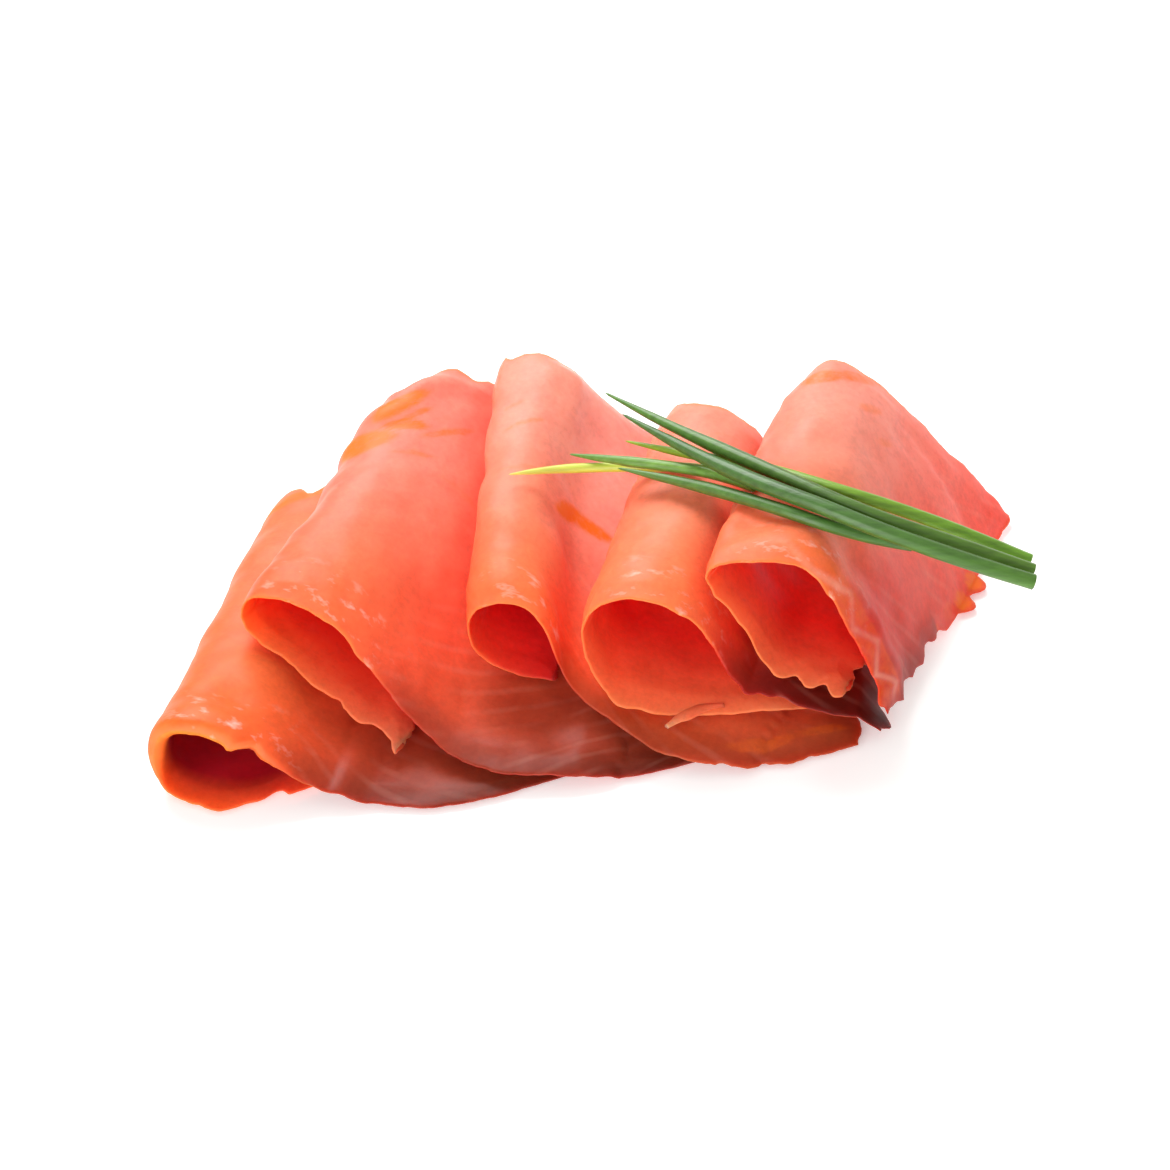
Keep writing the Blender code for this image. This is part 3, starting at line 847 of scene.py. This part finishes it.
def salmonMaterial(size):
    material, shader = newMaterial("curedSalmon_" + size["name"])
    names = ("fat", "lip", "flakeAndGlint", "seams", "pale")
    masks = [addNode(material, "Attribute", {"attribute_name": name}) for name in names]
    fat, lip, flakeAndGlint, seams, pale = (mask.outputs["Fac"] for mask in masks)
    # flesh: the slice's colour with its painted sheen, glow and shade
    flesh = addNode(material, "Attribute", {"attribute_name": "flesh"}).outputs["Color"]
    uv = addNode(material, "UVMap", {"uv_map": "sheetMap"}).outputs["UV"]
    body = addNode(material, "TexCoord").outputs["Object"]
    mix, multiplied = {"data_type": "RGBA"}, {"data_type": "RGBA", "blend_type": "MULTIPLY"}
    product = {"operation": "MULTIPLY"}

    # soft patches, lighter and darker
    low, high = salmon["mottleRange"]
    mottle = addNode(
        material, "TexNoise", Vector=body, Scale=1000 / salmon["mottle"], Detail=3.0, Roughness=0.55
    )
    mottled = addNode(material, "MapRange", Value=mottle.outputs["Fac"], i1=0.3, i2=0.7, i3=low, i4=high)
    base = addNode(material, "Mix", multiplied, i0=1.0, i6=flesh, i7=mottled.outputs["Result"])

    # a fine speckle of tissue, drawn a little coarser than it is so that it shows
    low, high = salmon["speckleRange"]
    speckle = addNode(
        material, "TexNoise", Vector=body, Scale=1000 / salmon["speckle"], Detail=2.0, Roughness=0.7
    )
    speckled = addNode(material, "MapRange", Value=speckle.outputs["Fac"], i1=0.3, i2=0.7, i3=low, i4=high)
    grained = addNode(material, "Mix", multiplied, i0=1.0, i6=base.outputs[2], i7=speckled.outputs["Result"])

    # seams between the flakes: bands across the slice, bent by a slow noise and seen in patches
    turned = addNode(material, "Mapping", Vector=uv, Rotation=(0, 0, math.radians(size["seamTurn"])))
    wave = addNode(
        material, "TexWave", {"wave_type": "BANDS", "bands_direction": "Y", "wave_profile": "SIN"},
        Vector=turned.outputs["Vector"], Scale=math.pi / 10 * sheet["uvSize"] / salmon["seamSpacing"],
        Distortion=salmon["seamBend"], Detail=2.0, Detail_Scale=0.22, Detail_Roughness=0.5,
    )
    thin = addNode(material, "MapRange", Value=wave.outputs["Fac"], i1=0.65, i2=1.0, i3=0.0, i4=1.0)
    patchy = addNode(material, "TexNoise", Vector=uv, Scale=salmon["patches"], Detail=2.0)
    patch = addNode(material, "MapRange", Value=patchy.outputs["Fac"], i1=0.42, i2=0.62, i3=0.0, i4=1.0)
    seam = addNode(material, "Math", product, i0=thin.outputs["Result"], i1=patch.outputs["Result"])
    seamMask = addNode(material, "Math", product, i0=seam.outputs["Value"], i1=seams)
    seamed = addNode(
        material, "Mix", mix, i0=seamMask.outputs["Value"], i6=grained.outputs[2], i7=linear(salmon["seam"])
    )

    # fat streaks with broken edges, and the orange cut edge
    crumble = addNode(material, "TexNoise", Vector=uv, Scale=salmon["crumbs"], Detail=4.0, Roughness=0.6)
    broken = addNode(material, "MapRange", Value=crumble.outputs["Fac"], i1=0.3, i2=0.7, i3=-0.3, i4=0.35)
    crumbled = addNode(
        material, "Math", {"operation": "ADD", "use_clamp": True}, i0=fat, i1=broken.outputs["Result"]
    )
    fatMask = addNode(material, "Math", product, i0=crumbled.outputs["Value"], i1=fat)
    fatted = addNode(
        material, "Mix", mix, i0=fatMask.outputs["Value"], i6=seamed.outputs[2], i7=linear(salmon["fat"])
    )
    edgeMask = addNode(material, "Math", product, i0=lip, i1=salmon["edgeStrength"])
    edged = addNode(
        material, "Mix", mix, i0=edgeMask.outputs["Value"], i6=fatted.outputs[2], i7=linear(salmon["edge"])
    )

    # pale flecks near the lips, flaky flesh with painted glints of wet sheen on it, and the pale line in a
    # folded rim
    turn = (0, 0, math.radians(salmon["fleckTurn"]))
    stretch = addNode(material, "Mapping", Vector=uv, Scale=salmon["flecks"], Rotation=turn)
    stretched = stretch.outputs["Vector"]
    flecks = addNode(material, "TexNoise", Vector=stretched, Scale=1.0, Detail=3.0, Roughness=0.6)
    high = salmon["fleckStrength"]
    fleck = addNode(material, "MapRange", Value=flecks.outputs["Fac"], i1=0.56, i2=0.76, i3=0.0, i4=high)
    fleckMask = addNode(material, "Math", product, i0=fleck.outputs["Result"], i1=flakeAndGlint)
    flecked = addNode(
        material, "Mix", mix, i0=fleckMask.outputs["Value"], i6=edged.outputs[2], i7=linear(salmon["flakeAndGlint"])
    )
    lined = addNode(material, "Mix", mix, i0=pale, i6=flecked.outputs[2], i7=linear(salmon["line"]))
    material.node_tree.links.new(lined.outputs[2], shader.inputs["Base Color"])

    # relief: fine tissue grain on soft slow waves
    grain = addNode(
        material, "TexNoise", Vector=body, Scale=1000 / salmon["grain"], Detail=3.0, Roughness=0.6
    )
    waves = addNode(material, "TexNoise", Vector=stretched, Scale=salmon["waves"], Detail=2.0)
    fine = addNode(
        material, "Bump", Strength=salmon["relief"], Distance=salmon["grainHeight"] * mm,
        Height=grain.outputs["Fac"],
    )
    slow = addNode(
        material, "Bump", Strength=salmon["relief"], Distance=salmon["waveHeight"] * mm,
        Height=waves.outputs["Fac"], Normal=fine.outputs["Normal"],
    )
    material.node_tree.links.new(slow.outputs["Normal"], shader.inputs["Normal"])
    low, high = salmon["roughness"]
    gloss = addNode(material, "MapRange", Value=mottle.outputs["Fac"], i1=0.3, i2=0.7, i3=low, i4=high)
    material.node_tree.links.new(gloss.outputs["Result"], shader.inputs["Roughness"])
    shader.inputs["IOR"].default_value = salmon["ior"]
    shader.inputs["Specular IOR Level"].default_value = salmon["specular"]
    shader.inputs["Subsurface Weight"].default_value = salmon["scatter"]
    shader.inputs["Subsurface Radius"].default_value = salmon["scatterColour"]
    shader.inputs["Subsurface Scale"].default_value = salmon["depth"] * mm
    shader.inputs["Coat Weight"].default_value = salmon["coat"]
    shader.inputs["Coat Roughness"].default_value = salmon["coatRoughness"]
    return material


# Chive leaf: a hollow round leaf whose thin waxy bloom greys the green, with fine ribs along it and a
# paler, yellower tip.
leaf = {
    "middle": 0.45,  # where a blade has its middle colour
    "streaks": (60, 600, 600),  # how close the streaks lie along x, y and z
    "streakScale": 1.6, "streakRange": (0.78, 1.2),
    "relief": 0.3, "reliefHeight": 0.2,
    "roughness": 0.42,
    "scatter": 0.15, "scatterColour": (0.5, 1.0, 0.2),
    "depth": 0.8,  # how far light spreads inside
}


def chiveMaterial(size):
    material, shader = newMaterial("chiveLeaf_" + size["name"])
    along = addNode(material, "Attribute", {"attribute_name": "along"}).outputs["Fac"]
    ramp = addNode(material, "ValToRGB", Fac=along)
    stops = ramp.color_ramp.elements
    stops[0].color = linear(size["tip"])
    stops[1].color = linear(size["end"])
    stops.new(leaf["middle"]).color = linear(size["middle"])
    body = addNode(material, "TexCoord").outputs["Object"]
    drawn = addNode(material, "Mapping", Vector=body, Scale=leaf["streaks"])
    streaks = addNode(
        material, "TexNoise", Vector=drawn.outputs["Vector"], Scale=leaf["streakScale"], Detail=3.0
    )
    low, high = leaf["streakRange"]
    tone = addNode(material, "MapRange", Value=streaks.outputs["Fac"], i1=0.3, i2=0.7, i3=low, i4=high)
    toned = addNode(
        material, "Mix", {"data_type": "RGBA", "blend_type": "MULTIPLY"},
        i0=1.0, i6=ramp.outputs["Color"], i7=tone.outputs["Result"],
    )
    material.node_tree.links.new(toned.outputs[2], shader.inputs["Base Color"])
    relief = addNode(
        material, "Bump", Strength=leaf["relief"], Distance=leaf["reliefHeight"] * mm,
        Height=streaks.outputs["Fac"],
    )
    material.node_tree.links.new(relief.outputs["Normal"], shader.inputs["Normal"])
    shader.inputs["Roughness"].default_value = leaf["roughness"]
    shader.inputs["Subsurface Weight"].default_value = leaf["scatter"]
    shader.inputs["Subsurface Radius"].default_value = leaf["scatterColour"]
    shader.inputs["Subsurface Scale"].default_value = leaf["depth"] * mm
    return material


studio = {
    "aim": (-3.44, 2.8, 12), "elevation": 38, "distance": 750, "lens": 115.4, "sensor": 36,
    "floor": "#F7F7F5", "floorSize": 6000, "floorRoughness": 0.8, "floorDrop": 0.2,
    "glow": 0.3,  # of the floor, like a lit table
    "world": 0.56,
    "key": {"place": (-180, 520, 600), "size": 460, "power": 7.0},
    "fill": {"place": (-300, -640, 240), "size": 500, "power": 4.2},
}


def addArea(name, light):
    bpy.ops.object.light_add(type="AREA", location=[v * mm for v in light["place"]])
    lamp = bpy.context.object
    lamp.name = name
    lamp.data.size = light["size"] * mm
    lamp.data.energy = light["power"]
    aim = Vector(studio["aim"]) * mm
    lamp.rotation_euler = (aim - lamp.location).to_track_quat("-Z", "Y").to_euler()


def makeFloor():
    drop = -studio["floorDrop"] * mm
    bpy.ops.mesh.primitive_plane_add(size=studio["floorSize"] * mm, location=(0, 0, drop))
    floor = bpy.context.object
    floor.name = "floor"
    material, shader = newMaterial("paleCard")
    shader.inputs["Base Color"].default_value = linear(studio["floor"])
    shader.inputs["Roughness"].default_value = studio["floorRoughness"]
    shader.inputs["Emission Color"].default_value = (1, 1, 1, 1)
    shader.inputs["Emission Strength"].default_value = studio["glow"]
    floor.data.materials.append(material)


def makeCamera():
    aim = Vector(studio["aim"]) * mm
    tilt = math.radians(studio["elevation"])
    away = Vector((0, -math.cos(tilt), math.sin(tilt))) * studio["distance"] * mm
    bpy.ops.object.camera_add(location=aim + away)
    camera = bpy.context.object
    camera.rotation_euler = (-away).to_track_quat("-Z", "Y").to_euler()
    camera.data.lens = studio["lens"]
    camera.data.sensor_width = studio["sensor"]
    bpy.context.scene.camera = camera


def makeStudio():
    makeFloor()
    world = bpy.data.worlds.new("studio")
    world.use_nodes = True
    light = world.node_tree.nodes["Background"]
    light.inputs["Color"].default_value = (1, 1, 1, 1)
    light.inputs["Strength"].default_value = studio["world"]
    bpy.context.scene.world = world
    addArea("key", studio["key"])
    addArea("fill", studio["fill"])
    makeCamera()
    bpy.context.scene.view_settings.view_transform = "Standard"


laid = []
for size in slices:
    makeSlice(size, laid, salmonMaterial(size))
    laid.append(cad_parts[size["name"]])
makeShred(shred, laid[:3], bpy.data.materials["curedSalmon_slice_4"])
for size in chives:
    makeBlade(size, chiveMaterial(size))
print("chives made")
makeStudio()
print("studio ready")
